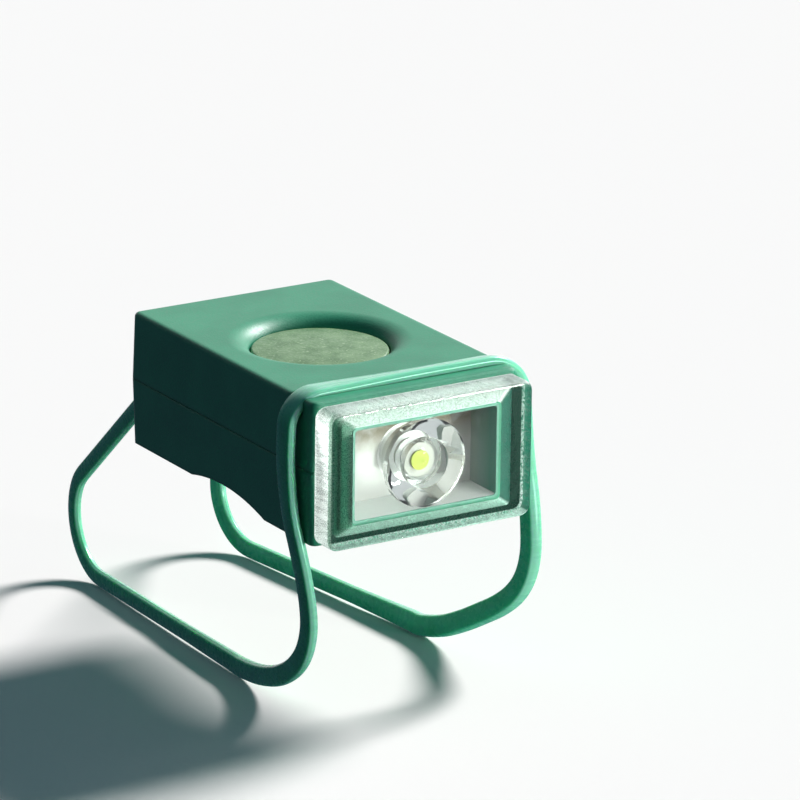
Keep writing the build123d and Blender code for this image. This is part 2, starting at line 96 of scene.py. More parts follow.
# Strap sections, as width and thickness, with the rounding of their edges and the crown of their sides
BAND_EDGE = 0.36
BAND_CROWN = 0.08
LEAST_FLAT = 0.01
BAND_NOSE = (2.9, 1.15)
BAND_LEFT = (2.45, 1.25)
BAND_RIGHT = (2.6, 1.7)
BAND_REAR = (2.05, 1.1)

# Strap over the nose: its line, its bends as x and radius, and the lean that grows along x and fades down z
BAND_Y = -16.78
BAND_Z = 16.16
LEFT_BEND = (-15.3, 3.95)
RIGHT_BEND = (17.0, 5.4)
NOSE_TILT = math.radians(-14)
TILT_X = (-16, 4)
TILT_Z = (5, 14)

# Strap down each side: rows of x, y, z, width and thickness, from the nose down
LEFT_ROUTE = (
    (-15.3, -16.78, 12.21, 2.9, 1.15),
    (-15.4, -16.8, 8.5, 2.85, 1.15),
    (-15.2, -17.0, 4.5, 2.65, 1.2),
    (-14.95, -17.5, 1.0, 2.5, 1.2),
    (-14.4, -18.1, -2.5, 2.5, 1.25),
    (-13.85, -18.55, -6.0, *BAND_LEFT),
    (-13.45, -18.85, -9.5, *BAND_LEFT),
    (-13.35, -18.85, -12.3, *BAND_LEFT),
    (-13.35, -18.0, -15.0, *BAND_LEFT),
    (-13.3, -16.2, -17.3, *BAND_LEFT),
    (-13.2, -13.6, -19.2, *BAND_LEFT),
    (-13.0, -10.3, -20.7, *BAND_LEFT),
    (-12.7, -6.3, -21.8, *BAND_LEFT),
    (-12.4, -2.0, -22.4, *BAND_LEFT),
)
RIGHT_ROUTE = (
    (17.0, -16.78, 10.76, 2.9, 1.15),
    (17.35, -16.85, 6.0, 2.8, 1.45),
    (17.65, -17.1, 2.0, 2.7, 1.6),
    (17.85, -17.6, -1.5, *BAND_RIGHT),
    (17.9, -18.05, -5.0, *BAND_RIGHT),
    (17.8, -18.25, -8.4, *BAND_RIGHT),
    (17.5, -17.7, -11.4, *BAND_RIGHT),
    (17.1, -16.2, -13.9, *BAND_RIGHT),
    (16.5, -13.9, -16.0, *BAND_RIGHT),
    (15.9, -10.9, -17.9, *BAND_RIGHT),
    (15.3, -7.6, -19.8, *BAND_RIGHT),
    (14.7, -4.2, -21.4, *BAND_RIGHT),
    (14.1, -0.5, -22.4, *BAND_RIGHT),
)

# Strap behind the bar: the corner that it rounds as y and z, and where each strand ends on the crossbar
REAR_CORNER = (53.5, -22.8)
REAR_RADIUS = 7.1
TAPER_RUN = 14.0
STRAND_END = (11.6, 22.9, 3.9)

# Strap's anchor: the crossbar as half length, y and z, its ends as inset and share of the section, and the
# tongue, which goes through the casing's rear wall to a bead inside
CROSSBAR = (12.4, 23.15, 5.4)
CROSSBAR_SECTION = (5.0, 2.4)
CROSSBAR_EDGE = 1.1
CROSSBAR_ENDS = ((0, 0.7), (0.12, 0.86), (0.4, 0.97), (0.8, 1.0))
TONGUE_HALF_WIDTH = 6.5
TONGUE_Y = (18.7, 22.6)
TONGUE_THICKNESS = 1.6
TONGUE_EDGE = 0.3
BEAD_Y = 18.65
BEAD_WIDTH = 2.6
BEAD_EDGE = 1.29

# Mesh steps of the strap: round a section, over the nose, round the rear, and the spacing along straight runs
CORNER_STEPS = 5
SIDE_STEPS = 6
BEND_STEPS = 8
FLAT_STEPS = 12
REAR_STEPS = 12
RUN_SPACING = 2
ROW_SPACING = 0.45

# Strap's painted light, paler faces: how far a face looks up, or ahead, where it begins and where it is full
PAINTED_LIGHT_ABOVE = (0.15, 0.85)
PAINTED_LIGHT_AHEAD = (-0.35, -0.95)

# Clear plastic, and what it lets through to the rays that look for the lamps
CLEAR = (0.97, 1.0, 0.985)
CLEAR_IOR = 1.49
CLEAR_TO_LAMPS = (0.95, 0.97, 0.96)
FROSTED_TO_LAMPS = (0.74, 0.80, 0.77)

# Lens: the pocket's rim at the back of the plate as half width and half height, the reach of each blend, and
# how squarely a face looks ahead where polish begins and where a slanted wall does
LENS_MIDDLE_Z = 7.25
LENS_RIM_INNER = (12.05, 7.25)
LENS_BACK_Y = (-22.2, -22.0)
LENS_BLEND = 0.1
LENS_PLANE = (0.90, 0.97)
LENS_SLOPE = (0.2, 0.4)

# Lens tones, painted light, shade and reflection of what stands round the lens: in each set of four, for the
# faces that look left, right, down and up. Milk is the least and the most that the frosting hides
LENS_OUTER = ((0.97, 0.98, 0.97), (0.30, 0.62, 0.48), (0.55, 0.85, 0.72), (0.88, 0.93, 0.90))
LENS_SEEN_INSIDE = ((0.01, 0.10, 0.06), (0.22, 0.50, 0.37), (0.88, 0.92, 0.88), (0.70, 0.97, 0.86))
LENS_SLANTED = ((0.40, 0.54, 0.46), (0.01, 0.11, 0.07), (0.60, 0.92, 0.78), (0.80, 0.84, 0.80))
LENS_SLANTED_MILK = (0.45, 0.95)
LENS_MILK = (0.4, 0.9)

# Rim tones, with painted reflection: the dark and the pale of its speckle, first for its left and right
# sides, then for top and bottom
LENS_RIM = (((0.03, 0.24, 0.16), (0.88, 0.94, 0.92)), ((0.40, 0.80, 0.64), (0.92, 0.97, 0.95)))

# Reflector tray, with painted shade at the top, painted green shade on the end walls and painted light on the
# sill
TRAY_WHITE = (0.50, 0.49, 0.465)
TRAY_SHADE = (0.17, 0.14, 0.08)
TRAY_SHADE_Z = (7.2, 10.6)
TRAY_WALL_SHADE = (0.02, 0.17, 0.11)
TRAY_WALL_SHADE_Y = (-17.2, -20.8)
TRAY_SILL_LIGHT = (0.90, 0.92, 0.89)
TRAY_MOUTH = (0.10, 0.28, 0.20)
TRAY_MOUTH_Y = (-21.85, -22.0)

# Saddle pad, with the angles of its grip grooves in degrees and its ends as inset and lift
PAD_HALF_WIDTH = 10.8
PAD_Y = (-9.3, 6.7)
PAD_BACK_Y = (3.4, 0, -4.6)
PAD_THICKNESS = 1.0
PAD_EDGE = 0.3
PAD_ENDS = ((0, 0.25), (0.08, 0.08), (0.25, 0))
PAD_STEPS = 240
ARCH_RADIUS = 30.0
GROOVE_ANGLES = range(-15, 13, 3)
GROOVE_WIDTH = 0.35
GROOVE_DEPTH = 0.24


class Tree:
    """A node tree, with short calls for the nodes that the looks share."""

    def __init__(self, tree):
        self.nodes = tree.nodes
        self.links = tree.links

    def put(self, value, socket):
        """Sets an input to a number, a vector or a colour, or joins an output to it."""
        if isinstance(value, tuple):
            socket.default_value = (*value, 1) if socket.type == "RGBA" else value
        elif isinstance(value, (int, float)):
            socket.default_value = value
        else:
            self.links.new(value, socket)

    def spread(self, source, low, high, to_low=0.0, to_high=1.0):
        """The source's range from low to high, mapped to another range and held there."""
        node = self.nodes.new("ShaderNodeMapRange")
        self.put(source, node.inputs["Value"])
        for socket, value in zip(("From Min", "From Max", "To Min", "To Max"), (low, high, to_low, to_high)):
            self.put(value, node.inputs[socket])
        return node.outputs["Result"]

    def math(self, operation, first, second):
        """Two values, each an output or a number, put through one operation."""
        node = self.nodes.new("ShaderNodeMath")
        node.operation = operation
        self.put(first, node.inputs[0])
        self.put(second, node.inputs[1])
        return node.outputs[0]

    def absolute(self, source):
        """The source without its sign."""
        return self.math("ABSOLUTE", source, 0)

    def axes(self, source):
        """The X, Y and Z of a vector."""
        node = self.nodes.new("ShaderNodeSeparateXYZ")
        self.put(source, node.inputs["Vector"])
        return node.outputs

    def rays(self):
        """What kind of ray is looking, as outputs by name."""
        return self.nodes.new("ShaderNodeLightPath").outputs

    def mix_colour(self, factor, first, second):
        """Two colours, each an output or three numbers, mixed by an output."""
        node = self.nodes.new("ShaderNodeMix")
        node.data_type = "RGBA"
        for index, value in ((0, factor), (6, first), (7, second)):
            self.put(value, node.inputs[index])
        return node.outputs[2]

    def mix_shader(self, factor, first, second):
        """Two shaders mixed by an output."""
        node = self.nodes.new("ShaderNodeMixShader")
        for index, value in enumerate((factor, first, second)):
            self.put(value, node.inputs[index])
        return node.outputs["Shader"]


class Finish(Tree):
    """A Principled material whose patterns are sized in millimetres."""

    def __init__(self, name, colour, **sockets):
        self.material = bpy.data.materials.new(name)
        self.material.use_nodes = True
        super().__init__(self.material.node_tree)
        self.shader = self.nodes["Principled BSDF"]
        coordinates = self.nodes.new("ShaderNodeTexCoord")
        self.place = coordinates.outputs["Object"]
        self.normal = coordinates.outputs["Normal"]
        self.set(Base_Color=colour, **sockets)

    def set(self, **sockets):
        """Sets the shader's inputs, each to a value or to an output."""
        for name, value in sockets.items():
            self.put(value, self.shader.inputs[name.replace("_", " ")])

    def show(self, surface):
        """Makes a shader the surface of the material."""
        self.put(surface, self.nodes["Material Output"].inputs["Surface"])

    def noise(self, size, detail=2.0, stretch=None):
        """A noise pattern with features of about that size."""
        node = self.nodes.new("ShaderNodeTexNoise")
        place = self.place
        if stretch:
            mapping = self.nodes.new("ShaderNodeMapping")
            self.put(stretch, mapping.inputs["Scale"])
            self.put(place, mapping.inputs["Vector"])
            place = mapping.outputs["Vector"]
        self.put(place, node.inputs["Vector"])
        self.put(1 / (size * MM), node.inputs["Scale"])
        self.put(detail, node.inputs["Detail"])
        return node.outputs["Fac"]

    def closure(self, kind, colour, normal=None):
        """A shader of one kind and one colour."""
        node = self.nodes.new(f"ShaderNodeBsdf{kind}")
        self.put(colour, node.inputs["Color"])
        if normal:
            self.put(normal, node.inputs["Normal"])
        return node.outputs["BSDF"]

    def let_lamps_through(self, surface, frosted=None):
        """Shows the surface, but nearly clear to rays that look for the lamps, and less so where frosted."""
        see_through = self.closure("Transparent", CLEAR_TO_LAMPS)
        if frosted:
            dimmer = self.closure("Transparent", FROSTED_TO_LAMPS)
            see_through = self.mix_shader(frosted, see_through, dimmer)
        self.show(self.mix_shader(self.rays()["Is Shadow Ray"], surface, see_through))

    def bump(self, height, depth, under=None):
        """A bump of that depth from a height pattern, laid over another normal where one is given."""
        node = self.nodes.new("ShaderNodeBump")
        self.put(1.0, node.inputs["Strength"])
        self.put(depth * MM, node.inputs["Distance"])
        self.put(height, node.inputs["Height"])
        if under:
            self.put(under, node.inputs["Normal"])
        self.set(Normal=node.outputs["Normal"])
        return node.outputs["Normal"]


def moulded_plastic(name, dark, light, roughness, grain=0.012, edge=0.0):
    """Moulded plastic with a fine spark-eroded grain, a faint mottle and, where asked, soft edges."""
    finish = Finish(name, light)
    mottle = finish.spread(finish.noise(7.0, 3.0), *NOISE_MIDDLE, 0.0, 0.5)
    fine = finish.noise(0.22, 1.0)
    speckled = finish.math("ADD", mottle, finish.spread(fine, *NOISE_MIDDLE, 0.0, 0.5))
    finish.set(
        Base_Color=finish.mix_colour(speckled, dark, light),
        Roughness=finish.spread(fine, *NOISE_MOST, roughness - 0.05, roughness + 0.07),
    )
    soft = None
    if edge:
        bevel = finish.nodes.new("ShaderNodeBevel")
        finish.put(edge * MM, bevel.inputs["Radius"])
        soft = bevel.outputs["Normal"]
    finish.bump(fine, grain, soft)
    return finish.material


def silicone(name, dark, light, painted_light):
    """Satin silicone that lets some light through, with handling marks and painted light that makes faces
    looking up and ahead paler.
    """
    finish = Finish(
        name, light, Specular_Tint=(0.5, 1.0, 0.8), Coat_Weight=0.25, Coat_Roughness=0.25,
        Subsurface_Weight=0.85, Subsurface_Radius=(0.35, 1.0, 0.5), Subsurface_Scale=1.0 * MM,
    )
    mottle = finish.spread(finish.noise(2.4, 3.0), *NOISE_MOST)
    # Painted light: faces that look up or ahead are mixed towards a paler colour
    normal = finish.axes(finish.normal)
    above = finish.spread(normal["Z"], *PAINTED_LIGHT_ABOVE)
    ahead = finish.spread(normal["Y"], *PAINTED_LIGHT_AHEAD)
    pale = finish.math("MAXIMUM", above, ahead)
    marks = finish.noise(0.9, 2.0, stretch=(0.15, 1.0, 1.0))
    finish.set(
        Base_Color=finish.mix_colour(pale, finish.mix_colour(mottle, dark, light), painted_light),
        Roughness=finish.spread(marks, 0.35, 0.7, 0.22, 0.34),
    )
    fine = finish.math("MULTIPLY", finish.noise(0.12, 1.0), 0.4)
    finish.bump(finish.math("ADD", fine, marks), 0.018)
    return finish.material


def button_rubber():
    """Milky green rubber with a coarse sparkling grain."""
    finish = Finish(
        "button_rubber", (0.20, 0.33, 0.18), Specular_IOR_Level=0.4,
        Subsurface_Weight=0.5, Subsurface_Radius=(0.8, 1.0, 0.6), Subsurface_Scale=1.2 * MM,
    )
    cloud = finish.spread(finish.noise(2.2, 3.0), 0.35, 0.68)
    colour = finish.mix_colour(cloud, (0.12, 0.24, 0.11), (0.22, 0.36, 0.19))
    speck = finish.spread(finish.noise(0.30, 1.0), 0.62, 0.74)
    grain = finish.noise(0.34, 2.0)
    finish.set(
        Base_Color=finish.mix_colour(speck, colour, (0.36, 0.50, 0.30)),
        Roughness=finish.spread(grain, *NOISE_MOST, 0.32, 0.55),
    )
    finish.bump(grain, 0.05)
    return finish.material


def clear_plastic(name):
    """Polished clear plastic. Lamps shine through it without bending, so that what is behind it is lit."""
    finish = Finish(name, CLEAR, IOR=CLEAR_IOR, Transmission_Weight=1.0)
    finish.set(Roughness=finish.spread(finish.noise(0.5), *NOISE_MOST, 0.0, 0.03))
    finish.let_lamps_through(finish.shader.outputs["BSDF"])
    return finish.material


def lens_plastic():
    """Clear plastic, polished on the front and back planes and frosted with a sparkling grain on the sides.

    Frosted faces get painted light, shade and reflection by side; the pocket's walls behind the front get the
    painted green of the casing behind them.
    """
    finish = Finish("clear_lens", CLEAR, IOR=CLEAR_IOR, Transmission_Weight=1.0)
    blend = LENS_BLEND * MM
    normal = finish.axes(finish.normal)
    place = finish.axes(finish.place)
    facing = finish.absolute(normal["Y"])
    rise = finish.math("SUBTRACT", place["Z"], LENS_MIDDLE_Z * MM)

    # The rim is the flat ring round the pocket, at the back of the plate
    past_side = finish.math("SUBTRACT", finish.absolute(place["X"]), LENS_RIM_INNER[0] * MM)
    past_flat = finish.math("SUBTRACT", finish.absolute(rise), LENS_RIM_INNER[1] * MM)
    outside = finish.spread(finish.math("MAXIMUM", past_side, past_flat), 0, blend)
    back = finish.spread(place["Y"], *(y * MM for y in LENS_BACK_Y))
    plane = finish.spread(facing, *LENS_PLANE)
    rim = finish.math("MULTIPLY", finish.math("MULTIPLY", outside, back), plane)
    frosted = finish.math("MAXIMUM", finish.spread(facing, *LENS_PLANE[::-1]), rim)

    grain = finish.noise(0.13, 1.0)
    streak = finish.noise(0.45, 2.0, stretch=(1.0, 0.15, 1.0))
    finish.set(Roughness=finish.math("MULTIPLY", frosted, finish.spread(grain, *NOISE_MIDDLE, 0.10, 0.38)))
    coarse = finish.math("ADD", grain, streak)
    bumped = finish.bump(finish.math("MULTIPLY", coarse, frosted), 0.05)

    # A face seen from inside the plastic turns its normal round, towards the lens's middle
    outward = finish.math(
        "ADD",
        finish.math("MULTIPLY", normal["X"], place["X"]),
        finish.math("MULTIPLY", normal["Z"], rise),
    )
    from_inside = finish.spread(outward, blend, -blend)
    slanted = finish.spread(facing, *LENS_SLOPE)
    left_right = finish.spread(normal["X"], -0.3, 0.3)
    down_up = finish.spread(normal["Z"], -0.3, 0.3)
    lean = finish.math("SUBTRACT", finish.absolute(normal["X"]), finish.absolute(normal["Z"]))
    sideways = finish.spread(lean, -0.2, 0.2)

    def painted_by_side(left, right, down, up):
        """Painted light, shade and reflection: one colour for the faces that look to each side."""
        upright = finish.mix_colour(down_up, down, up)
        return finish.mix_colour(sideways, upright, finish.mix_colour(left_right, left, right))

    # Painted light, shade and reflection on the frosted faces, a tone for each side, outside, inside and on
    # the slanted walls
    painted_frost = finish.mix_colour(from_inside, painted_by_side(*LENS_OUTER), painted_by_side(*LENS_SEEN_INSIDE))
    painted_frost = finish.mix_colour(slanted, painted_frost, painted_by_side(*LENS_SLANTED))
    # The rim's speckle, with painted reflection that differs between its sides and its top and bottom
    speck = finish.spread(finish.noise(0.32, 2.0), 0.38, 0.54)
    along_flat = finish.spread(finish.math("SUBTRACT", past_flat, past_side), -blend, blend)
    speckle = finish.mix_colour(along_flat, *(finish.mix_colour(speck, *pair) for pair in LENS_RIM))
    painted_frost = finish.mix_colour(rim, painted_frost, speckle)
    lets_through, holds_back = (finish.closure(kind, painted_frost, bumped) for kind in ("Translucent", "Diffuse"))
    painted_frost_shader = finish.mix_shader(finish.spread(normal["X"], -0.6, 0.6), lets_through, holds_back)

    cloud = finish.spread(coarse, 0.85, 1.15, *LENS_MILK)
    dense = finish.spread(grain, *NOISE_MIDDLE, *LENS_SLANTED_MILK)
    cloud = finish.math("MAXIMUM", cloud, finish.math("MULTIPLY", slanted, dense))
    share = finish.math("MULTIPLY", frosted, cloud)
    finish.let_lamps_through(finish.mix_shader(share, finish.shader.outputs["BSDF"], painted_frost_shader), frosted)
    return finish.material


def tray_plastic():
    """White reflector plastic: green at the mouth; painted shade at the top, painted green shade on the end
    walls, painted light on the sill.
    """
    finish = Finish("white_plastic", TRAY_WHITE, Specular_IOR_Level=0.3)
    place = finish.axes(finish.place)
    normal = finish.axes(finish.normal)
    high = finish.spread(place["Z"], *(z * MM for z in TRAY_SHADE_Z))
    cloud = finish.spread(finish.noise(2.6, 3.0), 0.36, 0.6, 0.2, 1.0)
    colour = finish.mix_colour(finish.math("MULTIPLY", high, cloud), TRAY_WHITE, TRAY_SHADE)
    # Painted green shade and reflection on the end walls, strongest towards the front
    wall = finish.spread(finish.absolute(normal["X"]), 0.5, 0.9)
    depth = finish.spread(place["Y"], *(y * MM for y in TRAY_WALL_SHADE_Y), 0.45, 1.0)
    colour = finish.mix_colour(finish.math("MULTIPLY", wall, depth), colour, TRAY_WALL_SHADE)
    # Painted light: faces that look up are painted paler
    colour = finish.mix_colour(finish.spread(normal["Z"], 0.5, 0.9), colour, TRAY_SILL_LIGHT)
    mouth = finish.spread(place["Y"], *(y * MM for y in TRAY_MOUTH_Y))
    fine = finish.noise(0.2, 1.0)
    finish.set(
        Base_Color=finish.mix_colour(mouth, colour, TRAY_MOUTH),
        Roughness=finish.spread(fine, *NOISE_MOST, 0.3, 0.42),
    )
    finish.bump(fine, 0.01)
    return finish.material


def metal(name, colour, roughness, stretch=None):
    """Plain metal, or brushed metal where the pattern is stretched."""
    finish = Finish(name, colour, Metallic=1.0)
    lines = finish.noise(0.25, 3.0, stretch)
    shade = tuple(0.9 * part for part in colour)
    finish.set(
        Base_Color=finish.mix_colour(finish.spread(lines, *NOISE_MOST), shade, colour),
        Roughness=finish.spread(lines, *NOISE_MOST, roughness - 0.07, roughness + 0.1),
    )
    finish.bump(lines, 0.003)
    return finish.material


def dress(material, *nodes):
    """Gives CAD nodes a material."""
    for node in nodes:
        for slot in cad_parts[node].material_slots:
            slot.material = material


def add_object(name, data):
    """A new object in the scene."""
    thing = bpy.data.objects.new(name, data)
    bpy.context.scene.collection.objects.link(thing)
    return thing


def skin(mesh, rings):
    """Faces from each ring of a mesh to the next."""
    for ring, following in zip(rings, rings[1:]):
        for k in range(len(ring)):
            mesh.faces.new((ring[k - 1], ring[k], following[k], following[k - 1]))


def add_mesh(name, mesh):
    """The object of a closed mesh, with its faces turned outward."""
    bmesh.ops.recalc_face_normals(mesh, faces=mesh.faces)
    data = bpy.data.meshes.new(name)
    mesh.to_mesh(data)
    mesh.free()
    return add_object(name, data)


def shade_smooth(piece, angle=40):
    """Smooth shading that keeps edges sharper than the angle."""
    for face in piece.data.polygons:
        face.use_smooth = True
    mesh = bmesh.new()
    mesh.from_mesh(piece.data)
    for edge in mesh.edges:
        edge.smooth = len(edge.link_faces) == 2 and edge.calc_face_angle(0) < math.radians(angle)
    mesh.to_mesh(piece.data)
    mesh.free()


def rounded_section(width, thickness, radius):
    """Points (across, up) of a rounded rectangle whose flat sides bulge by the crown."""
    points = []
    inner_w = width / 2 - radius
    inner_t = thickness / 2 - radius
    for quarter, (sx, sy) in enumerate(((1, 1), (-1, 1), (-1, -1), (1, -1))):
        for i in range(CORNER_STEPS + 1):
            angle = math.pi / 2 * (quarter + i / CORNER_STEPS)
            points.append((sx * inner_w + radius * math.cos(angle), sy * inner_t + radius * math.sin(angle)))
        out = ((0, 1), (-1, 0), (0, -1), (1, 0))[quarter]
        along = (-out[1], out[0])
        reach = inner_w if along[0] else inner_t
        start = points[-1]
        for i in range(1, SIDE_STEPS):
            t = i / SIDE_STEPS
            bulge = BAND_CROWN * 4 * t * (1 - t)
            points.append(tuple(start[k] + along[k] * 2 * reach * t + out[k] * bulge for k in (0, 1)))
    return points


def between(rows, t):
    """A point on the Catmull-Rom line through rows, at t counted in rows."""
    i = min(int(t), len(rows) - 2)
    f = t - i
    a, b, c, d = (rows[min(max(k, 0), len(rows) - 1)] for k in (i - 1, i, i + 1, i + 2))
    return [
        0.5 * (2 * q + (r - p) * f + (2 * p - 5 * q + 4 * r - s) * f * f + (3 * q - p - 3 * r + s) * f ** 3)
        for p, q, r, s in zip(a, b, c, d)
    ]


def fine_rows(rows):
    """Closely spaced rows on the smooth line through the given ones."""
    out = [list(rows[0])]
    for i in range(len(rows) - 1):
        gap = (Vector(rows[i + 1][:3]) - Vector(rows[i][:3])).length
        count = max(1, round(gap / ROW_SPACING))
        out += [between(rows, i + (k + 1) / count) for k in range(count)]
    return out


def under_rows(start, end, size):
    """Rows from the end of a side route back under the bar, round its rear and up to the casing."""
    start, end = Vector(start), Vector(end)
    heading = Vector((end.x - start.x, end.y - start.y, 0)).normalized()
    corner = start + heading * (REAR_CORNER[0] - start.y)
    corner.z = REAR_CORNER[1]
    back = (start - corner).normalized()
    up = (end - corner).normalized()
    half = back.angle(up) / 2
    reach = REAR_RADIUS / math.tan(half)
    centre = corner + (back + up).normalized() * (REAR_RADIUS / math.sin(half))
    first, last = corner + back * reach, corner + up * reach
    rows = []
    run = (first - start).length
    steps = round(run / RUN_SPACING)
    for i in range(1, steps):
        t = min(1, run * i / steps / TAPER_RUN)
        width, thickness = (a + (b - a) * t for a, b in zip(size, BAND_REAR))
        rows.append((*start.lerp(first, i / steps), width, thickness))
    spoke, far = first - centre, last - centre
    turn = spoke.rotation_difference(far)
    for i in range(REAR_STEPS + 1):
        place = centre + Quaternion().slerp(turn, i / REAR_STEPS) @ spoke
        rows.append((*place, *BAND_REAR))
    steps = round((end - last).length / RUN_SPACING)
    rows += [(*last.lerp(end, i / steps), *BAND_REAR) for i in range(1, steps + 1)]
    return rows


def bend_rows(x, radius, side):
    """Rows round one bend of the nose, in the order from the left side to the right."""
    rows = []
    for i in range(BEND_STEPS):
        angle = math.pi / 2 * (i / BEND_STEPS if side < 0 else 1 - i / BEND_STEPS)
        across = x - side * radius + side * radius * math.cos(angle)
        rows.append((across, BAND_Y, BAND_Z - radius + radius * math.sin(angle), *BAND_NOSE))
    return rows


def nose_rows():
    """Rows over the nose, from the left side to the right."""
    start = LEFT_BEND[0] + LEFT_BEND[1]
    run = RIGHT_BEND[0] - RIGHT_BEND[1] - start
    flat = [(start + run * k / FLAT_STEPS, BAND_Y, BAND_Z, *BAND_NOSE) for k in range(FLAT_STEPS)]
    return bend_rows(*LEFT_BEND, -1) + flat + bend_rows(*RIGHT_BEND, 1)


def sweep(name, rows, tilt=None, radius=BAND_EDGE):
    """A closed mesh of sections along rows, turned as little as the line allows."""
    count = len(rows)
    middle = count // 2 if tilt else 0
    places = [Vector(row[:3]) for row in rows]
    along = [(places[min(i + 1, count - 1)] - places[max(i - 1, 0)]).normalized() for i in range(count)]
    across = [None] * count
    guess = Vector((0, 1, 0)) if tilt else Vector((0, 0, 1))
    across[middle] = (guess - along[middle] * guess.dot(along[middle])).normalized()
    for order in (range(middle + 1, count), range(middle - 1, -1, -1)):
        for i in order:
            near = across[i - 1] if i > middle else across[i + 1]
            across[i] = (near - along[i] * near.dot(along[i])).normalized()
    mesh = bmesh.new()
    rings = []
    for place, heading, side, (*_, width, thickness) in zip(places, along, across, rows):
        if tilt:
            side = Quaternion(heading, tilt(place)) @ side
        normal = heading.cross(side)
        edge = min(radius, width / 2 - LEAST_FLAT, thickness / 2 - LEAST_FLAT)
        section = rounded_section(width, thickness, edge)
        rings.append([mesh.verts.new((place + side * u + normal * v) * MM) for u, v in section])
    skin(mesh, rings)
    for ring in (rings[0], rings[-1]):
        hub = mesh.verts.new(sum((v.co for v in ring), Vector()) / len(ring))
        for k in range(len(ring)):
            mesh.faces.new((ring[k - 1], ring[k], hub))
    return add_mesh(name, mesh)


def join_solids(main, others):
    """One closed mesh from overlapping ones."""
    for other in others:
        union = main.modifiers.new("union", "BOOLEAN")
        union.operation = "UNION"
        union.solver = "EXACT"
        union.object = other
        solid = bpy.data.meshes.new_from_object(main.evaluated_get(bpy.context.evaluated_depsgraph_get()))
        main.modifiers.clear()
        main.data = solid
        bpy.data.objects.remove(other)
    return main


def share_of(value, low, high):
    """How far a value is on its way from low to high, held between 0 and 1."""
    return min(1, max(0, (value - low) / (high - low)))


def nose_tilt(place):
    """The lean of the nose run, which grows towards its right end and fades down the side."""
    rise = share_of(place.x, *TILT_X)
    return NOSE_TILT * rise * rise * (3 - 2 * rise) * share_of(place.z, *TILT_Z)


def make_strap(material):
    """The endless band: two strands from the rear wall, under the bar's space and over the nose."""
    end_x, end_y, end_z = STRAND_END
    left = under_rows(LEFT_ROUTE[-1][:3], (-end_x, end_y, end_z), BAND_LEFT)
    right = under_rows(RIGHT_ROUTE[-1][:3], (end_x, end_y, end_z), BAND_RIGHT)
    rows = left[::-1] + list(LEFT_ROUTE[::-1]) + nose_rows()[1:] + list(RIGHT_ROUTE) + right
    band = sweep("strap_band", fine_rows(rows), nose_tilt)
    half, y, z = CROSSBAR
    width, thickness = CROSSBAR_SECTION
    ends = [(inset - half, share) for inset, share in CROSSBAR_ENDS]
    ends += [(-x, share) for x, share in ends[::-1]]
    bar_rows = [(x, y, z, width * share, thickness * share) for x, share in ends]
    tongue_rows = [(0, y, z, TONGUE_THICKNESS, 2 * TONGUE_HALF_WIDTH) for y in TONGUE_Y]
    bead_rows = [(side * TONGUE_HALF_WIDTH, BEAD_Y, z, BEAD_WIDTH, BEAD_WIDTH) for side in (-1, 1)]
    crossbar = sweep("crossbar", bar_rows, radius=CROSSBAR_EDGE)
    tongue = sweep("tongue", tongue_rows, radius=TONGUE_EDGE)
    bead = sweep("bead", bead_rows, radius=BEAD_EDGE)
    piece = join_solids(band, [crossbar, tongue, bead])
    shade_smooth(piece)
    piece.data.materials.append(material)
    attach(piece, "housing")
    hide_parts("strap")


def pad_outline():
    """The pad's profile as y and z: the grooved face on the bar, with rounded edges, and then the back."""
    low, high = (math.asin(y / ARCH_RADIUS) for y in PAD_Y)
    profile = []
    for i in range(PAD_STEPS + 1):
        angle = low + (high - low) * i / PAD_STEPS
        groove = sum(math.exp(-(((math.degrees(angle) - at) / GROOVE_WIDTH) ** 2)) for at in GROOVE_ANGLES)
        edge = min(i, PAD_STEPS - i) / PAD_STEPS * (high - low) * ARCH_RADIUS
        lift = PAD_EDGE - math.sqrt(max(0, PAD_EDGE ** 2 - max(0, PAD_EDGE - edge) ** 2))
        radius = ARCH_RADIUS + GROOVE_DEPTH * groove + lift
        profile.append((radius * math.sin(angle), radius * math.cos(angle) - ARCH_RADIUS))
    top = ARCH_RADIUS + PAD_THICKNESS
    back = [(y, math.sqrt(top ** 2 - y ** 2) - ARCH_RADIUS) for y in (PAD_Y[1], *PAD_BACK_Y, PAD_Y[0])]
    return profile + back


def make_pad(material):
    """The curved pad under the cover, with rounded edges and grip grooves along the bar."""
    outline = pad_outline()
    sections = [(inset - PAD_HALF_WIDTH, lift) for inset, lift in PAD_ENDS]
    sections += [(-x, lift) for x, lift in sections[::-1]]
    mesh = bmesh.new()
    rings = []
    for x, lift in sections:
        lifts = [lift] * (PAD_STEPS + 1) + [0] * (len(outline) - PAD_STEPS - 1)
        points = [(x, y, z + rise) for (y, z), rise in zip(outline, lifts)]
        rings.append([mesh.verts.new(tuple(value * MM for value in point)) for point in points])
    skin(mesh, rings)
    mesh.faces.new(rings[0])
    mesh.faces.new(rings[-1])
    piece = add_mesh("pad_soft", mesh)
    shade_smooth(piece, angle=50)
    piece.data.materials.append(material)
    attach(piece, "battery_tray")
    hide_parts("saddle_pad")


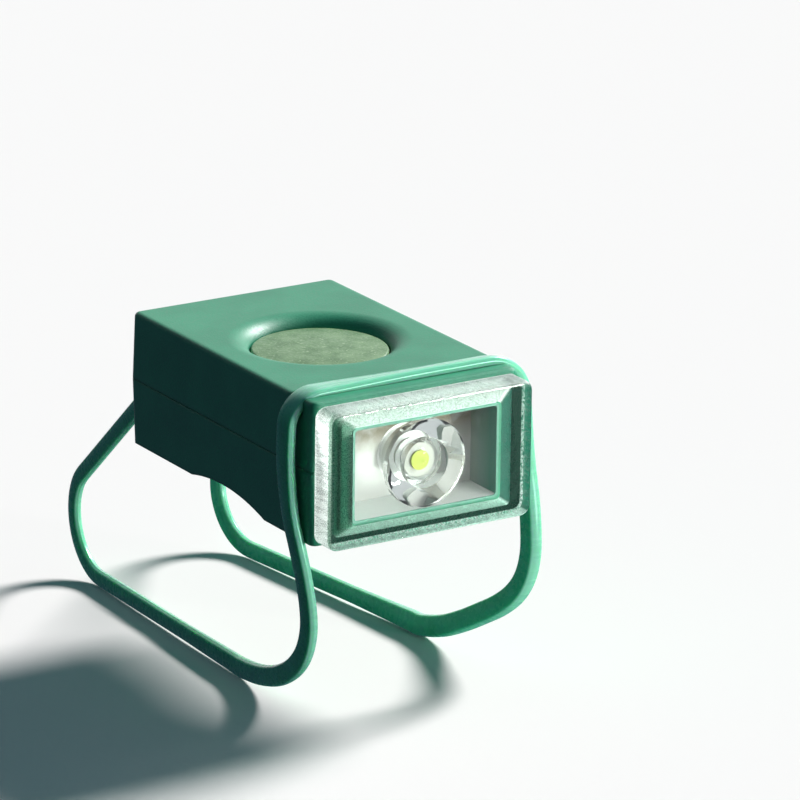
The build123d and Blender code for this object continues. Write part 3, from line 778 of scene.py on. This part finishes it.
def dress_frame():
    """Every CAD node gets its finish."""
    dress(
        moulded_plastic("casing", (0.014, 0.225, 0.120), (0.028, 0.315, 0.170), 0.42, grain=0.02, edge=0.8),
        "upper_shell", "lower_shell", "battery_cover",
    )
    dress(
        moulded_plastic("seal", (0.002, 0.10, 0.055), (0.004, 0.14, 0.08), 0.5),
        "case_seal", "lens_seal", "button_seal",
    )
    dress(button_rubber(), "button")
    dress(lens_plastic(), "lens")
    dress(clear_plastic("clear_collimator"), "collimator")
    dress(tray_plastic(), "reflector_tray")
    dress(
        moulded_plastic("white_board", (0.74, 0.74, 0.71), (0.82, 0.82, 0.80), 0.4, grain=0.004),
        "led_board",
    )
    dress(
        moulded_plastic("led_case", (0.36, 0.35, 0.31), (0.44, 0.43, 0.38), 0.4, grain=0.004),
        "led_package",
    )
    dress(
        moulded_plastic("phosphor", (0.30, 0.36, 0.003), (0.40, 0.44, 0.006), 0.45, grain=0.01),
        "led_phosphor",
    )
    dress(
        moulded_plastic("black_plastic", (0.010, 0.010, 0.011), (0.018, 0.018, 0.019), 0.45, grain=0.008),
        "switch_body", "switch_plunger", "microcontroller", "resistors",
    )
    dress(
        moulded_plastic("board", (0.008, 0.085, 0.035), (0.012, 0.12, 0.05), 0.3, grain=0.01),
        "circuit_board",
    )
    dress(
        moulded_plastic("ceramic", (0.26, 0.15, 0.06), (0.34, 0.21, 0.09), 0.4, grain=0.006),
        "capacitors",
    )
    dress(
        metal("contact_metal", (0.80, 0.72, 0.52), 0.24),
        "led_pins", "switch_legs", "positive_contact", "negative_contact",
    )
    dress(
        metal("cell_steel", (0.78, 0.73, 0.60), 0.28, stretch=(0.06, 1.0, 1.0)),
        "upper_cell", "lower_cell",
    )
    dress(metal("screw_steel", (0.60, 0.61, 0.62), 0.3), "case_screws", "board_screws")


def make_camera():
    """The camera of the photograph."""
    camera = add_object("camera", bpy.data.cameras.new("camera"))
    camera.data.sensor_width = CAMERA_SENSOR
    camera.data.lens = CAMERA_LENS
    camera.data.clip_start, camera.data.clip_end = CAMERA_CLIP
    turn = Matrix((CAMERA_RIGHT, CAMERA_UP, CAMERA_BACK)).transposed()
    camera.matrix_world = Matrix.Translation(CAMERA_EYE) @ turn.to_4x4()
    bpy.context.scene.camera = camera


def sun(name, direction, strength, softness):
    """A soft parallel light from a direction."""
    data = bpy.data.lights.new(name, "SUN")
    data.energy = strength
    data.angle = math.radians(softness)
    lamp = add_object(name, data)
    lamp.rotation_mode = "QUATERNION"
    lamp.rotation_quaternion = Vector(direction).to_track_quat("Z", "Y")


def make_world():
    """A white backdrop for the camera, for gloss and for glass, and a dim cool fill on everything else.

    Gloss sees it white only behind the object, and dim on the side of the unlit room. Glass sees it pale all
    round.
    """
    world = bpy.data.worlds.new("studio")
    bpy.context.scene.world = world
    world.use_nodes = True
    tree = Tree(world.node_tree)

    def background(colour, node=None):
        """A plain background of one colour."""
        node = node or tree.nodes.new("ShaderNodeBackground")
        tree.put(colour, node.inputs["Color"])
        return node.outputs["Background"]

    toward = tree.nodes.new("ShaderNodeVectorMath")
    toward.operation = "DOT_PRODUCT"
    tree.put(tree.nodes.new("ShaderNodeTexCoord").outputs["Generated"], toward.inputs[0])
    tree.put(tuple(Vector(BACKDROP_TOWARD).normalized()), toward.inputs[1])
    rays = tree.rays()
    camera, gloss, glass = rays["Is Camera Ray"], rays["Is Glossy Ray"], rays["Is Transmission Ray"]
    level = tree.math("MAXIMUM", tree.spread(toward.outputs["Value"], *BACKDROP_EDGE), camera)
    level = tree.math("MAXIMUM", level, tree.math("MULTIPLY", glass, GLASS_LEVEL))
    backdrop = tree.mix_shader(level, background(ROOM), background(BACKDROP_WHITE))
    seen = tree.math("MAXIMUM", tree.math("MAXIMUM", camera, gloss), glass)
    light = tree.mix_shader(seen, background(FILL, tree.nodes["Background"]), backdrop)
    tree.put(light, tree.nodes["World Output"].inputs["Surface"])


def make_floor():
    """A wide pale floor just under the strap, which gloss doesn't see.

    To the left it bounces no light back, as under the dark bar.
    """
    z = CAD_BOX[0].z - FLOOR_GAP
    corners = [(x * FLOOR_HALF, y * FLOOR_HALF, z) for x, y in ((-1, -1), (1, -1), (1, 1), (-1, 1))]
    data = bpy.data.meshes.new("floor")
    data.from_pydata(corners, [], [(0, 1, 2, 3)])
    finish = Finish("floor", FLOOR_COLOUR, Roughness=1.0, Specular_IOR_Level=0.0)
    rays = finish.rays()
    bounce = finish.spread(finish.axes(finish.place)["X"], *FLOOR_FADE_X, FLOOR_LEFT, 1.0)
    bounced = finish.mix_colour(bounce, (0.0, 0.0, 0.0), FLOOR_COLOUR)
    finish.set(Base_Color=finish.mix_colour(rays["Is Camera Ray"], bounced, FLOOR_COLOUR))
    clear = finish.closure("Transparent", (1.0, 1.0, 1.0))
    finish.show(finish.mix_shader(rays["Is Glossy Ray"], finish.shader.outputs["BSDF"], clear))
    data.materials.append(finish.material)
    add_object("floor", data)


dress_frame()
# The last colour is painted light, for the faces that look up or ahead
silicone_green = silicone("strap_silicone", (0.03, 0.42, 0.23), (0.06, 0.50, 0.30), (0.27, 0.68, 0.49))
make_strap(silicone_green)
make_pad(silicone_green)
make_camera()
sun("key", KEY_FROM, KEY_STRENGTH, KEY_SOFTNESS)
sun("front", FRONT_FROM, FRONT_STRENGTH, FRONT_SOFTNESS)
make_world()
make_floor()
bpy.context.scene.view_settings.view_transform = "Standard"
